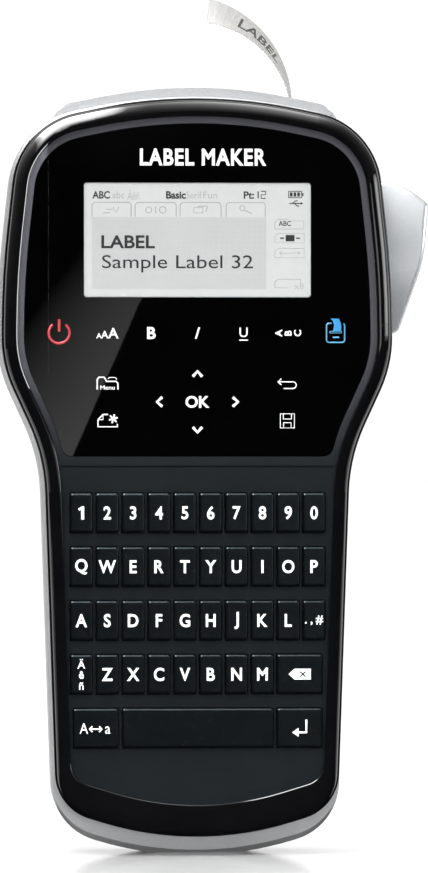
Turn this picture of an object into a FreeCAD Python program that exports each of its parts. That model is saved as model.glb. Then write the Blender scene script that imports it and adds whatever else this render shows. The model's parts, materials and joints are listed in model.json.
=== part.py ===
import FreeCAD, Part
import math
import os

# A handheld label maker, standing upright. +X is its right side seen from the front, -Y is its
# front and +Z is up. All sizes are in millimetres. Depths are measured from a plane inside the
# case, and the finished parts are moved so that the origin is the centre of the flat foot.

V = FreeCAD.Vector
X_AXIS = V(1, 0, 0)
Y_AXIS = V(0, 1, 0)

# Depth of the centre of the foot, which becomes the origin.
FOOT_Y = 4.8

# Depths along Y, from the front to the back.
FRONT_Y = -17.2
KEY_FACE_Y = -16.8
DECK_Y = -15.0
PANEL_BACK_Y = -14.0
DECK_BACK_Y = -13.2
MAT_Y = (-10.6, -9.8)
BOARD_Y = (-9.6, -8.0)
BEZEL_BACK_Y = -7.0
HOUSING_Y = -6.6
RIM_Y = -3.2
HANDLE_BACK_Y = 15.0
BULGE_BACK_Y = 34.0
WALL = 2.0

# Right half of the case outline, from the bottom centre up to the top centre: x, z, corner radius.
CASE = [
    (0.0, 1.1, 86.0),
    (38.0, 12.7, 13.0),
    (41.25, 107.3, 48.0),
    (52.7, 132.2, 34.0),
    (52.5, 156.0, 250.0),
    (48.0, 196.6, 21.5),
    (0.0, 206.8, 136.0),
]

# How far the rear housing stands out beyond that outline at the sides, bottom and top.
HOUSING_OUT = (0.8, 5.6, 0.9)
# The opening of the bezel and the control panel lie this far inside the outline.
BEZEL_IN = (-4.3, -8.8, -5.1)
PANEL_IN = (-6.1, -8.0, -7.0)
# The bezel rounds back by this radius, down to a fine step along its outer edge.
BEZEL_ROUND = 3.1
BEZEL_STEP = 0.55
BEZEL_STEP_DEPTH = 3.3
BEZEL_LIP_R = 0.45
PANEL_BOTTOM_Z = 107.4
GROOVE_Z = 104.6

# Bulge over the tape cassette: half width, bottom and the outline of its top.
BULGE_HALF = 38.6
BULGE_BOTTOM_Z = 112.0
BULGE_TOP_Z = 207.4
BULGE_SHOULDER_Z = 202.3
BULGE_CORNER_R = (9.0, 4.0)
CAP_HALF = 36.9
CAP_STEP = 1.3
BULGE_EDGE_R = 8.0

# Display opening.
DISPLAY_HALF = 30.65
DISPLAY_Z = (150.0, 181.0)

# Keyboard grid.
KEY_PITCH = 6.95
ROW_PITCH = 14.45
TOP_ROW_Z = 92.2
KEY_SIZE = (6.0, 10.6)
WIDE_KEY = 12.2
WIDE_KEY_X = 27.4
SPACE_KEY = 40.6
KEY_GAP = 0.22
KEY_TRAVEL = 0.8

# Icons printed on the control panel, each over its own switch dome: x, z.
PANEL_SWITCHES = [(x, 140.5) for x in (-37.2, -24.4, -12.4, 0.0, 12.4, 24.4, 37.2)]
PANEL_SWITCHES += [(x, z) for x in (-24.2, 24.2) for z in (126.9, 116.9)]
PANEL_SWITCHES += [(0.0, 129.5), (0.0, 122.0), (0.0, 114.5), (-10.2, 122.0), (10.2, 122.0)]

# Tape path, feed roller and cutter.
TAPE_X = 27.4
TAPE_THICK = 0.2
TAPE_Y = (12.0, 24.0)
TAPE_START_Z = 177.0
TAPE_CURL_Z = 201.4
TAPE_CURL_R = 28.7
TAPE_CURL_DEG = 78.5
TAPE_TWIST_DEG = (3.0, 38.0)
ROLLER_R = 4.0
TAPE_CLEAR = 0.3
TAPE_LEFT_X = TAPE_X - TAPE_THICK / 2 - TAPE_CLEAR
TAPE_RIGHT_X = TAPE_X + TAPE_THICK / 2 + TAPE_CLEAR
ROLLER_X = TAPE_LEFT_X - ROLLER_R
ROLLER_Z = 187.5
SHAFT_R = 1.5
RUNNING_FIT = 0.05

# Cutter lever on the right side, turning on a pin in the housing.
LEVER_PIVOT = (47.5, 144.0)
LEVER_Y = (0.3, 12.3)
LEVER_PIN_R = 1.5
LEVER_INNER_X = 48.5
LEVER_TOP_Z = 182.5
LEVER_SLOT_Z = (139.5, 183.8)
LEVER_PRESS = 0.2
# The front of the lever is domed up and down, about this height.
LEVER_DOME_R = 95.0
LEVER_DOME_Z = 160.0

# The lever pushes the cutter blade at this height; the blade's edge rests at this X.
BLADE_X = 32.4
BLADE_TRAVEL = BLADE_X - TAPE_RIGHT_X
PUSH_Z = LEVER_PIVOT[1] + BLADE_TRAVEL / LEVER_PRESS

# Doors in the back: half width, hinge height and top.
CASSETTE_DOOR = (29.0, 124.0, 193.0)
BATTERY_DOOR = (25.0, 31.0, 97.0)
DOOR_THICK = 2.0
DOOR_GAP = 0.3

# Case screws, one near each corner: x, z.
SCREWS = [(side * x, z) for side in (-1, 1) for x, z in ((31.0, 20.0), (42.0, 186.0))]
SCREW_SEAT_Y = 9.0
SCREW_TIP_Y = -10.8
POST_JOIN_Y = -7.8
SCREW_R = 1.2


def box(x, y, z):
    """Box from pairs of lowest and highest values."""
    return Part.makeBox(x[1] - x[0], y[1] - y[0], z[1] - z[0], V(x[0], y[0], z[0]))


def rod(x, z, radius, y):
    """Cylinder along Y."""
    return Part.makeCylinder(radius, y[1] - y[0], V(x, y[0], z), Y_AXIS)


def rod_x(y, z, radius, x):
    """Cylinder along X."""
    return Part.makeCylinder(radius, x[1] - x[0], V(x[0], y, z), X_AXIS)


def crossing(line_a, line_b):
    """Point where two lines meet, each given as x, z, dx, dz."""
    ax, az, adx, adz = line_a
    bx, bz, bdx, bdz = line_b
    along = ((bx - ax) * bdz - (bz - az) * bdx) / (adx * bdz - adz * bdx)
    return ax + adx * along, az + adz * along


def case_outline(side, bottom, top):
    """Corners of the case outline, moved outward by three distances."""
    moves = [bottom, side, side, side, side, top]
    lines = [(0, 0, 0, 1)]
    for (x0, z0, _), (x1, z1, _), move in zip(CASE, CASE[1:], moves):
        dx, dz = x1 - x0, z1 - z0
        length = math.hypot(dx, dz)
        lines.append((x0 + move * dz / length, z0 - move * dx / length, dx, dz))
    lines.append((0, 0, 0, 1))
    grown = [bottom] + [(a + b) / 2 for a, b in zip(moves, moves[1:])] + [top]
    grown[2] = -side
    half = []
    for (_, _, radius), grow, one, two in zip(CASE, grown, lines, lines[1:]):
        x, z = crossing(one, two)
        half.append((x, z, radius + grow))
    return half + [(-x, z, radius) for x, z, radius in half[-2:0:-1]]


def rounded(corners, y):
    """Closed wire in a plane of constant Y through corners of x, z, radius."""
    edges = []
    ends = []
    for i, (x, z, radius) in enumerate(corners):
        here = V(x, y, z)
        back = (V(corners[i - 1][0], y, corners[i - 1][1]) - here).normalize()
        ahead_x, ahead_z, _ = corners[(i + 1) % len(corners)]
        ahead = (V(ahead_x, y, ahead_z) - here).normalize()
        half_angle = back.getAngle(ahead) / 2
        reach = radius / math.tan(half_angle)
        middle = here + (back + ahead).normalize() * (radius / math.sin(half_angle) - radius)
        ends.append((here + back * reach, middle, here + ahead * reach))
    for i, (start, middle, end) in enumerate(ends):
        edges.append(Part.Arc(start, middle, end).toShape())
        following = ends[(i + 1) % len(ends)][0]
        if (following - end).Length > 1e-4:
            edges.append(Part.LineSegment(end, following).toShape())
    return Part.Wire(edges)


def slab(corners, y):
    """Solid between two Y values with a rounded outline."""
    return Part.Face(rounded(corners, y[0])).extrude(V(0, y[1] - y[0], 0))


def plate(x, z, radius, y):
    """Rectangular plate with rounded corners."""
    return slab([(x[0], z[0], radius), (x[1], z[0], radius), (x[1], z[1], radius), (x[0], z[1], radius)], y)


def edges_at(shape, y, keep=lambda edge: True):
    """Edges of a shape that lie in the plane of one Y value."""
    flat = [e for e in shape.Edges if abs(e.BoundBox.YMin - y) < 1e-4 and abs(e.BoundBox.YMax - y) < 1e-4]
    return [edge for edge in flat if keep(edge)]


def front_bezel():
    """Gloss ring round the front, with a deep side wall behind it."""
    step_y = FRONT_Y + BEZEL_STEP_DEPTH
    wall = slab(case_outline(0, 0, 0), (step_y, BEZEL_BACK_Y))
    wall = wall.makeFillet(0.4, edges_at(wall, step_y))
    crown = slab(case_outline(-BEZEL_STEP, -BEZEL_STEP, -BEZEL_STEP), (FRONT_Y, step_y + 1))
    crown = crown.makeFillet(BEZEL_ROUND, edges_at(crown, FRONT_Y))
    ring = crown.fuse(wall)
    ring = ring.cut(slab(case_outline(*BEZEL_IN), (FRONT_Y - 1, DECK_Y + 1)))
    ring = ring.cut(slab(case_outline(-WALL, -WALL, -WALL), (DECK_Y, 0)))
    front = [face for face in ring.Faces if face.BoundBox.YMax < FRONT_Y + 1e-3][0]
    lip = min(front.Wires, key=lambda wire: wire.BoundBox.XLength)
    return ring.makeFillet(BEZEL_LIP_R, lip.Edges)


def panel_outline(grow):
    """Outline of the control panel, cut level at its lower end."""
    side, bottom, top = PANEL_IN
    whole = slab(case_outline(side + grow, bottom + grow, top + grow), (DECK_Y, PANEL_BACK_Y))
    upper = whole.common(box((-60, 60), (-20, 0), (PANEL_BOTTOM_Z - grow, 220)))
    low = [e for e in upper.Edges if abs(e.BoundBox.ZMin - PANEL_BOTTOM_Z + grow) < 1e-3
           and e.BoundBox.XLength < 1e-3 and e.BoundBox.ZLength < 1e-3]
    return upper.makeFillet(3.0, low)


def display_cut(grow, y):
    """Block the size of the display opening."""
    x = (-DISPLAY_HALF - grow, DISPLAY_HALF + grow)
    return plate(x, (DISPLAY_Z[0] - grow, DISPLAY_Z[1] + grow), 0.8, y)


def control_panel():
    """Gloss black sheet with the display opening."""
    return panel_outline(0).cut(display_cut(0, (DECK_Y - 1, 0)))


def keyboard_deck(keys):
    """Satin front plate: a pocket for the panel, an opening for each key and four screw posts."""
    deck = slab(case_outline(-WALL - 0.1, -WALL - 0.1, -WALL - 0.1), (DECK_Y, DECK_BACK_Y))
    deck = deck.cut(panel_outline(0.15))
    deck = deck.cut(display_cut(0.3, (DECK_Y, 0)))
    deck = deck.cut(box((-36.4, 36.4), (DECK_Y - 1, DECK_Y + 0.5), (GROOVE_Z - 0.25, GROOVE_Z + 0.25)))
    for x, z in PANEL_SWITCHES:
        deck = deck.cut(rod(x, z, 3.0, (PANEL_BACK_Y - 1, 0)))
    openings = [box((x0 - KEY_GAP, x1 + KEY_GAP), (DECK_Y - 1, 0), (z0 - KEY_GAP, z1 + KEY_GAP))
                for _, x0, x1, z0, z1 in keys]
    deck = deck.cut(Part.makeCompound(openings))
    for x, z in SCREWS:
        deck = deck.fuse(rod(x, z, 2.6, (DECK_BACK_Y - 0.5, POST_JOIN_Y - 0.1)))
        deck = deck.cut(rod(x, z, SCREW_R + 0.05, (DECK_BACK_Y + 2, POST_JOIN_Y)))
    return deck.removeSplitter()


def key_cells():
    """Name and edges of each key: name, left, right, bottom, top."""
    rows = [
        ["digit_%d" % (n % 10) for n in range(1, 11)],
        list("qwertyuiop"),
        list("asdfghjkl") + ["punctuation"],
        ["accent"] + list("zxcvbnm"),
    ]
    cells = []
    for row, names in enumerate(rows):
        for column, name in enumerate(names):
            cells.append((name, (column - 4.5) * KEY_PITCH, row, KEY_SIZE[0]))
    cells.append(("backspace", WIDE_KEY_X, 3, WIDE_KEY))
    cells.append(("capitals", -WIDE_KEY_X, 4, WIDE_KEY))
    cells.append(("space", 0, 4, SPACE_KEY))
    cells.append(("enter", WIDE_KEY_X, 4, WIDE_KEY))
    half_height = KEY_SIZE[1] / 2
    keys = []
    for name, x, row, width in cells:
        z = TOP_ROW_Z - row * ROW_PITCH
        keys.append((name, x - width / 2, x + width / 2, z - half_height, z + half_height))
    return keys


def key_cap(x0, x1, z0, z1):
    """Key cap with soft front edges, a retaining lip above and below, and a plunger."""
    cap = plate((x0, x1), (z0, z1), 0.7, (KEY_FACE_Y, DECK_BACK_Y + 0.4))
    cap = cap.makeFillet(0.65, edges_at(cap, KEY_FACE_Y))
    lip_y = (DECK_BACK_Y + 0.2, DECK_BACK_Y + 0.9)
    lip = box((x0 + 0.2, x1 - 0.2), lip_y, (z0 - 0.7, z1 + 0.7))
    plunger = rod((x0 + x1) / 2, (z0 + z1) / 2, 1.5, (DECK_BACK_Y + 0.9, MAT_Y[0] - 1.6))
    return cap.fuse([lip, plunger]).removeSplitter()


def board_outline(y):
    """Outline shared by the rubber mat and the circuit board."""
    low = box((-30, 30), y, (24, 113)).fuse(box((-34.5, 34.5), y, (28, 98)))
    middle = box((-41, 41), y, (112, 178))
    high = box((-36, 36), y, (177, 193))
    return low.fuse([middle, high]).removeSplitter()


def keypad_mat(keys):
    """Rubber sheet with a dome under each key and each panel icon."""
    mat = board_outline(MAT_Y)
    domes = [rod((x0 + x1) / 2, (z0 + z1) / 2, 1.8, (MAT_Y[0] - 0.5, MAT_Y[0] + 0.2))
             for _, x0, x1, z0, z1 in keys]
    domes += [rod(x, z, 2.3, (PANEL_BACK_Y + 0.1, MAT_Y[0] + 0.2)) for x, z in PANEL_SWITCHES]
    return mat.fuse(domes).removeSplitter()


def main_board():
    """Circuit board, three chips and the USB socket, as separate solids."""
    board = board_outline(BOARD_Y)
    chips = [box((x, x + size), (BOARD_Y[1], BOARD_Y[1] + 1.2), (z, z + size))
             for x, z, size in ((-14, 126, 14), (8, 130, 9), (-8, 66, 10))]
    socket = box((-46, -38), (BOARD_Y[1], -2.4), (146, 154))
    socket = socket.fuse(box((-51.6, -45), (-5.6, -2.4), (146.2, 153.8))).removeSplitter()
    return Part.makeCompound([board] + chips + [socket])


def display_module():
    """Display glass standing in the panel opening, in its frame."""
    glass = display_cut(-0.15, (DECK_Y + 0.35, -12.6))
    frame = box((-33.5, 33.5), (-12.8, -10.8), (147.0, 184.0))
    return glass.fuse(frame).removeSplitter()


def bulge_outline(inset, half=BULGE_HALF, drop=CAP_STEP):
    """Outline of the bulge over the cassette, or of the narrower cap that stands on it."""
    half = half - inset
    low = BULGE_BOTTOM_Z + inset
    low_r, high_r = (radius - inset for radius in BULGE_CORNER_R)
    shoulder_z = BULGE_SHOULDER_Z - inset - drop
    crown = (0, BULGE_TOP_Z + 2.4 - inset - drop, 130 - inset)
    return [(-half, low, low_r), (half, low, low_r), (half, shoulder_z, high_r), crown,
            (-half, shoulder_z, high_r)]


def housing_skin():
    """Outside of the rear housing as one full solid."""
    side, bottom, top = HOUSING_OUT
    sections = [rounded(case_outline(side * f, bottom * f, top * f), y)
                for f, y in ((0, HOUSING_Y), (0.72, HOUSING_Y + 0.9), (1, RIM_Y))]
    skin = Part.makeLoft(sections[:2], True, True).fuse(Part.makeLoft(sections[1:], True, True))
    block = slab(case_outline(side, bottom, top), (RIM_Y, HANDLE_BACK_Y))
    block = block.makeFillet(3.0, edges_at(block, HANDLE_BACK_Y))
    bulge = slab(bulge_outline(0), (RIM_Y + 2, BULGE_BACK_Y))
    bulge = bulge.makeFillet(BULGE_EDGE_R, edges_at(bulge, BULGE_BACK_Y))
    cap = slab(bulge_outline(0, CAP_HALF, 0), (RIM_Y + 1, BULGE_BACK_Y - BULGE_EDGE_R))
    skin = skin.fuse([block, bulge, cap])
    return skin.cut(box((-60, 60), (-20, 40), (-10, 0))).removeSplitter()


def housing_cavity():
    """Hollow of the rear housing."""
    room = slab(case_outline(-WALL, -WALL, -WALL), (HOUSING_Y - 1, HANDLE_BACK_Y - WALL))
    bulge = slab(bulge_outline(WALL), (0, BULGE_BACK_Y - WALL))
    bulge = bulge.makeFillet(BULGE_EDGE_R - WALL, edges_at(bulge, BULGE_BACK_Y - WALL))
    return room.fuse(bulge)


def door_hole(half, low, high, back_y):
    """Opening through the wall for a door, with room below it for the round hinge edge to turn."""
    turning_r = DOOR_THICK + DOOR_GAP
    across = (-half - DOOR_GAP, half + DOOR_GAP)
    opening = box(across, (back_y - DOOR_THICK, back_y + 1), (low - turning_r, high + DOOR_GAP))
    return opening.fuse(rod_x(back_y - DOOR_THICK, low, turning_r, across))


def rear_housing():
    """Silver shell with its two door openings, lever slot, tape slot, socket hole and screw posts."""
    shell = housing_skin().cut(housing_cavity())
    posts = [rod(x, z, 3.2, (POST_JOIN_Y, HANDLE_BACK_Y - 1)) for x, z in SCREWS]
    pin = rod(*LEVER_PIVOT, LEVER_PIN_R, (-3.5, HANDLE_BACK_Y - 1))
    shell = shell.fuse(posts + [pin])
    cuts = [rod(x, z, 2.6, (SCREW_SEAT_Y, HANDLE_BACK_Y + 5)) for x, z in SCREWS]
    cuts += [rod(x, z, SCREW_R + 0.3, (POST_JOIN_Y - 1, SCREW_SEAT_Y + 1)) for x, z in SCREWS]
    cuts.append(box((46, 60), (LEVER_Y[0] - 0.3, LEVER_Y[1] + 0.3), LEVER_SLOT_Z))
    cuts.append(plate((TAPE_X - 2.1, TAPE_X + 1.1), (195, 212), 0.1, (TAPE_Y[0] - 0.7, TAPE_Y[1] + 0.7)))
    cuts.append(box((-60, -47), (-5.9, -2.1), (145.8, 154.2)))
    cuts.append(door_hole(*CASSETTE_DOOR, BULGE_BACK_Y))
    cuts.append(door_hole(*BATTERY_DOOR, HANDLE_BACK_Y))
    return shell.cut(cuts).fuse(pin).removeSplitter()


def door(half, low, high, back_y):
    """Door panel on a round hinge edge, with a finger groove near its free edge."""
    panel = box((-half, half), (back_y - DOOR_THICK, back_y), (low, high))
    edge = rod_x(back_y - DOOR_THICK, low, DOOR_THICK, (-half, half))
    edge = edge.cut(box((-half, half), (back_y - 2 * DOOR_THICK, back_y - DOOR_THICK), (low, low + 5)))
    groove = rod_x(back_y + 5.4, high - 6, 6.0, (-9, 9))
    return panel.fuse(edge).cut(groove).removeSplitter()


def battery_pack():
    """Rechargeable pack behind the battery cover."""
    pack = plate((-22, 22), (36, 93), 2.0, (2.0, 12.4))
    return pack.makeFillet(1.0, edges_at(pack, 12.4))


def cutter_lever():
    """Silver wing that the thumb presses in, on its pivot boss."""
    px, pz = LEVER_PIVOT
    boss = 3.2
    wing = slab([
        (LEVER_INNER_X, pz + 5.5, 2.0),
        (px - boss, pz + boss, boss - 0.1),
        (px - boss, pz - boss, boss - 0.1),
        (55.4, 140.6, 2.5),
        (62.4, 160.6, 40.0),
        (63.8, 176.0, 2.0),
        (57.2, 181.1, 18.0),
        (LEVER_INNER_X, LEVER_TOP_Z, 1.6),
    ], LEVER_Y)
    wing = wing.makeFillet(1.4, edges_at(wing, LEVER_Y[1]))
    dome = rod_x(LEVER_Y[0] + LEVER_DOME_R, LEVER_DOME_Z, LEVER_DOME_R, (px - 10, px + 20))
    wing = wing.common(dome)
    front = [face for face in wing.Faces if abs(face.BoundBox.YMin - LEVER_Y[0]) < 1e-3]
    wing = wing.makeFillet(1.3, front[0].Edges)
    return wing.cut(rod(px, pz, LEVER_PIN_R + RUNNING_FIT, (LEVER_Y[0] - 1, LEVER_Y[1] + 1)))


def lever_spring():
    """Close-wound torsion spring round the front end of the lever's pin, with two straight legs."""
    px, pz = LEVER_PIVOT
    wire_r, coil_r, pitch = 0.35, 2.2, 0.66
    places = [LEVER_Y[0] - 0.5 - pitch * turn for turn in range(4)]
    coils = [Part.makeTorus(coil_r, wire_r, V(px, y, pz), Y_AXIS) for y in places]
    legs = [Part.makeCylinder(wire_r * 0.9, 8.0, V(px + coil_r, places[0], pz), V(0, 0, 1)),
            Part.makeCylinder(wire_r * 0.9, 8.0, V(px - coil_r, places[-1], pz), V(0, 0, -1))]
    return coils[0].fuse(coils[1:] + legs).removeSplitter()


def cutter_blade():
    """Steel blade on a carriage that the lever pushes across the tape path."""
    carriage_x = (33.0, 35.2)
    depth = (1.0, 4.4)
    push_bar = box((carriage_x[0], LEVER_INNER_X - 0.4), depth, (PUSH_Z - 1.8, PUSH_Z + 1.6))
    upright = box(carriage_x, depth, (PUSH_Z - 1.8, 196.2))
    arm = box(carriage_x, (depth[0], 26.0), (194.0, 196.2))
    edge = box((BLADE_X, carriage_x[1]), (TAPE_Y[0] - 1, TAPE_Y[1] + 1), (194.9, 195.3))
    return push_bar.fuse([upright, arm, edge]).removeSplitter()


def print_engine():
    """Print frame, print head and gear motor, bolted together as one unit of separate solids."""
    column_x = (ROLLER_X - 10.0, ROLLER_X - ROLLER_R - 1.0)
    side_z = (ROLLER_Z - ROLLER_R, ROLLER_Z + ROLLER_R)
    frame = plate((-35.2, 35.2), (118, 193.2), 4.0, (5.0, 7.0))
    frame = frame.fuse([box(column_x, (6.0, 29.0), side_z),
                        box((column_x[0], ROLLER_X + 3.4), (27.0, 29.0), side_z)])
    bore = rod(ROLLER_X, ROLLER_Z, SHAFT_R + RUNNING_FIT, (-3, 30))
    frame = frame.cut(bore).removeSplitter()
    head = box((TAPE_RIGHT_X, TAPE_RIGHT_X + 2), (7.0, 25.5), (183.5, 192.0))
    head = head.fuse(box((TAPE_RIGHT_X + 1.5, 32.4), (7.0, 25.5), (181.5, 192.0))).removeSplitter()
    gearbox = box((ROLLER_X - 5, ROLLER_X + 4), (-5.5, 5.0), (ROLLER_Z - 5.5, ROLLER_Z + 5.5)).cut(bore)
    motor = gearbox.fuse(rod_x(-0.3, ROLLER_Z, 5.0, (-12, ROLLER_X - 4))).removeSplitter()
    return Part.makeCompound([frame, head, motor])


def feed_roller():
    """Rubber-faced roller on its shaft."""
    shaft = rod(ROLLER_X, ROLLER_Z, SHAFT_R, (-2.5, 28.8))
    return shaft.fuse(rod(ROLLER_X, ROLLER_Z, ROLLER_R, (10.5, 25.5))).removeSplitter()


def tape_cassette():
    """Tape cassette with its two spool hubs."""
    body = plate((-32, 32), (125, 176.5), 5.0, (7.6, 27.0))
    body = body.cut([rod(x, 150, 4.0, (22, 28)) for x in (-16, 16)])
    return body.makeFillet(0.8, edges_at(body, 27.0, lambda edge: edge.BoundBox.XLength > 9))


def tape_section(turn):
    """Cross-section of the curled tape after a part of the whole curl, from 0 to 1."""
    angle = math.radians(TAPE_CURL_DEG * turn)
    twist = math.radians(TAPE_TWIST_DEG[0] + (TAPE_TWIST_DEG[1] - TAPE_TWIST_DEG[0]) * turn) * min(1, turn * 8)
    outward = V(math.cos(angle), 0, math.sin(angle))
    centre = V(TAPE_X - TAPE_CURL_R, (TAPE_Y[0] + TAPE_Y[1]) / 2, TAPE_CURL_Z) + outward * TAPE_CURL_R
    across = Y_AXIS * math.cos(twist) + outward * math.sin(twist)
    through = outward * math.cos(twist) - Y_AXIS * math.sin(twist)
    half_width = across * ((TAPE_Y[1] - TAPE_Y[0]) / 2)
    half_thick = through * (TAPE_THICK / 2)
    points = [centre + half_width * a + half_thick * b for a, b in ((-1, -1), (1, -1), (1, 1), (-1, 1))]
    return Part.makePolygon(points + points[:1])


def label_strip():
    """Printed tape, straight inside the case and curling to the left above it."""
    straight = box((TAPE_X - TAPE_THICK / 2, TAPE_X + TAPE_THICK / 2), TAPE_Y, (TAPE_START_Z, TAPE_CURL_Z))
    steps = 16
    sections = [tape_section(step / steps) for step in range(steps + 1)]
    curl = Part.makeLoft(sections, True, True)
    return straight.fuse(curl).removeSplitter()


def case_screws():
    """Four identical screws, as separate solids."""
    screws = []
    for x, z in SCREWS:
        head = rod(x, z, 2.3, (SCREW_SEAT_Y, SCREW_SEAT_Y + 1.8))
        slot = box((x - 1.6, x + 1.6), (SCREW_SEAT_Y + 1.0, SCREW_SEAT_Y + 2), (z - 0.25, z + 0.25))
        cross = box((x - 0.25, x + 0.25), (SCREW_SEAT_Y + 1.0, SCREW_SEAT_Y + 2), (z - 1.6, z + 1.6))
        screws.append(head.fuse(rod(x, z, SCREW_R, (SCREW_TIP_Y, SCREW_SEAT_Y))).cut([slot, cross]))
    return Part.makeCompound(screws)


def build():
    """All the nodes by name."""
    keys = key_cells()
    nodes = {
        "front_bezel": front_bezel(),
        "control_panel": control_panel(),
        "keyboard_deck": keyboard_deck(keys),
        "display_module": display_module(),
        "keypad_mat": keypad_mat(keys),
        "main_board": main_board(),
        "rear_housing": rear_housing(),
        "cassette_door": door(*CASSETTE_DOOR, BULGE_BACK_Y),
        "battery_cover": door(*BATTERY_DOOR, HANDLE_BACK_Y),
        "battery_pack": battery_pack(),
        "cutter_lever": cutter_lever(),
        "lever_spring": lever_spring(),
        "cutter_blade": cutter_blade(),
        "print_engine": print_engine(),
        "feed_roller": feed_roller(),
        "tape_cassette": tape_cassette(),
        "label_strip": label_strip(),
        "case_screws": case_screws(),
    }
    for name, x0, x1, z0, z1 in keys:
        nodes["key_" + name] = key_cap(x0, x1, z0, z1)
    for shape in nodes.values():
        shape.translate(V(0, -FOOT_Y, 0))
    return nodes


def main():
    os.makedirs("parts", exist_ok=True)
    for name, shape in build().items():
        shape.exportStep("parts/" + name + ".step")
        print(name, shape.isValid(), len(shape.Solids), round(shape.Volume, 1))


main()
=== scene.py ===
import json
import math

import bmesh
import bpy
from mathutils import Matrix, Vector


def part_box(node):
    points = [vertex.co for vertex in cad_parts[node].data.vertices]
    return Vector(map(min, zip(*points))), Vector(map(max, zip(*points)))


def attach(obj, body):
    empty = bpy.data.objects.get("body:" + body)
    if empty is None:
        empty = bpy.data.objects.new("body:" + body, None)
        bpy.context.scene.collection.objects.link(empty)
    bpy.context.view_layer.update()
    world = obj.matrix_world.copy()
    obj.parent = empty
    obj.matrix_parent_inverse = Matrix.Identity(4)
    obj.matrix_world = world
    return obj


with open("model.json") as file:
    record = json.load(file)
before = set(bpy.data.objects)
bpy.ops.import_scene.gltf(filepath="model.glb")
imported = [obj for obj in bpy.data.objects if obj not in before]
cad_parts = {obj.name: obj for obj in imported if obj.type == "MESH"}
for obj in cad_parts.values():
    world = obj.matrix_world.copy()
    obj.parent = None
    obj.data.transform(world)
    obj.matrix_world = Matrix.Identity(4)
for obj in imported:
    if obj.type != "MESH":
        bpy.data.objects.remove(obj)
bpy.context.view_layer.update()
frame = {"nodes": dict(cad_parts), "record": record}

MM = 0.001
NODES = frame["nodes"]
PANEL_LOW, PANEL_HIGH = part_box("control_panel")

# How far printed ink and display segments stand on the surface below them.
INK_DEPTH = 0.02 * MM
INK_GAP = 0.01 * MM
# Text on the dot field starts above it by this much.
FIELD_STEP = 0.04 * MM

# Height of a capital letter as a share of the font's size.
CAPITAL_SHARE = 0.73

# The rim round the control panel changes colour between these heights.
RIM_LOW_Z = PANEL_LOW.z - 3 * MM
RIM_HIGH_Z = PANEL_LOW.z + 34 * MM

# Top left corner of the display's glass.
SCREEN_LEFT_X = -30.65 * MM
SCREEN_TOP_Z = PANEL_LOW.z + 73.6 * MM

# The curl of the label, the stretch of it that carries the word, in degrees, and the letters.
CURL_RADIUS = 28.7 * MM
CURL_CENTRE_BELOW_TOP = 31.7 * MM
CURL_CENTRE_INSET = 0.3 * MM
WORD_START, WORD_END = 60.0, 29.0
WORD_LETTER = 5.2 * MM

# The camera stands this far off and this many degrees to the left. The picture's height is a share of
# the ring's height.
CAMERA_DISTANCE = 1.6
CAMERA_TURN = 3.0
PICTURE_SHARE = 1.1845
SENSOR_WIDTH = 36.0

# The dome that carries the reflected cards, and the room of dark cards round it.
DOME_CENTRE = Vector((0, 0, 0.12))
DOME_RADIUS = 1.5
DOME_STEP = 1.5
ROOM_FRONT_Y, ROOM_BACK_Y = -2.6, 0.6
ROOM_HALF_WIDTH = 1.6
ROOM_TOP_Z = 2.3
FLOOR_HALF_WIDTH = 30.0


# ---------------------------------------------------------------- materials

def socket(material, name):
    """Input of the material's main shader."""
    return material.node_tree.nodes["Principled BSDF"].inputs[name]


def object_place(material):
    """The object's own coordinates, in metres."""
    nodes = material.node_tree.nodes
    place = nodes.get("Place") or nodes.new("ShaderNodeTexCoord")
    place.name = "Place"
    return place.outputs["Object"]


def object_axis(material, axis):
    """One object coordinate, in metres."""
    nodes, links = material.node_tree.nodes, material.node_tree.links
    split = nodes.new("ShaderNodeSeparateXYZ")
    links.new(object_place(material), split.inputs["Vector"])
    return split.outputs[axis]


def noise(material, scale, detail=4.0):
    """Noise over the object's own coordinates, with a scale in repeats per metre."""
    nodes, links = material.node_tree.nodes, material.node_tree.links
    texture = nodes.new("ShaderNodeTexNoise")
    texture.inputs["Scale"].default_value = scale
    texture.inputs["Detail"].default_value = detail
    texture.inputs["Roughness"].default_value = 0.6
    links.new(object_place(material), texture.inputs["Vector"])
    return texture.outputs["Fac"]


def maths(material, operation, first, second):
    """Result of one maths step on a value and a number or a second value."""
    nodes, links = material.node_tree.nodes, material.node_tree.links
    node = nodes.new("ShaderNodeMath")
    node.operation = operation
    links.new(first, node.inputs[0])
    if isinstance(second, (int, float)):
        node.inputs[1].default_value = second
    else:
        links.new(second, node.inputs[1])
    return node.outputs[0]


def between(material, value, start, end, low=0.0, high=1.0):
    """Steady change from low to high while a value goes from start to end."""
    nodes, links = material.node_tree.nodes, material.node_tree.links
    ramp = nodes.new("ShaderNodeMapRange")
    for name, number in (("From Min", start), ("From Max", end), ("To Min", low), ("To Max", high)):
        ramp.inputs[name].default_value = number
    links.new(value, ramp.inputs["Value"])
    return ramp.outputs["Result"]


def vary_colour(material, value, dark, light):
    """Base colour between two colours, following a noise value."""
    nodes, links = material.node_tree.nodes, material.node_tree.links
    ramp = nodes.new("ShaderNodeValToRGB")
    ramp.color_ramp.elements[0].position = 0.3
    ramp.color_ramp.elements[1].position = 0.7
    ramp.color_ramp.elements[0].color = (*dark, 1)
    ramp.color_ramp.elements[1].color = (*light, 1)
    links.new(value, ramp.inputs["Fac"])
    links.new(ramp.outputs["Color"], socket(material, "Base Color"))


def bump(material, value, depth):
    """Bump of a real depth in metres."""
    nodes, links = material.node_tree.nodes, material.node_tree.links
    node = nodes.new("ShaderNodeBump")
    node.inputs["Distance"].default_value = depth
    links.new(value, node.inputs["Height"])
    links.new(node.outputs["Normal"], socket(material, "Normal"))


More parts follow.
